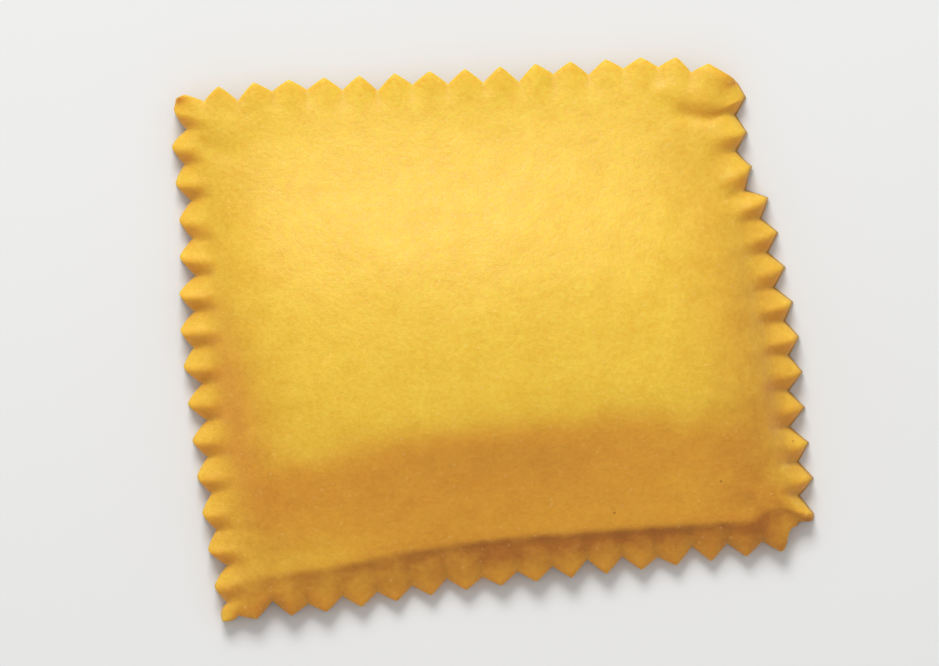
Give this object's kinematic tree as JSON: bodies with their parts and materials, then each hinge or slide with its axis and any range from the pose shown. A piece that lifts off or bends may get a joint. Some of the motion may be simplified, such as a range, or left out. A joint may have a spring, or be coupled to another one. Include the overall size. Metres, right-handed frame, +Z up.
{
  "type": "ravioli",
  "caption": "Fresh egg raviolo, a stuffed square cushion of yellow dough with a sealed, fluted and pinked rim and a flat belly.",
  "frame": {"origin": "on the table plane under the middle of the box, at the level of the flat belly", "axes": "+X to the right along the raviolo's longer way, +Y away from the viewer of the picture's lower edge, +Z up out of the table"},
  "size_m": [0.0598, 0.0526, 0.0084],
  "materials": {
    "egg_dough": "fresh egg pasta dough, matt with a faint damp sheen"
  },
  "bodies": {
    "root": {"raviolo": "egg_dough"}
  },
  "joints": []
}
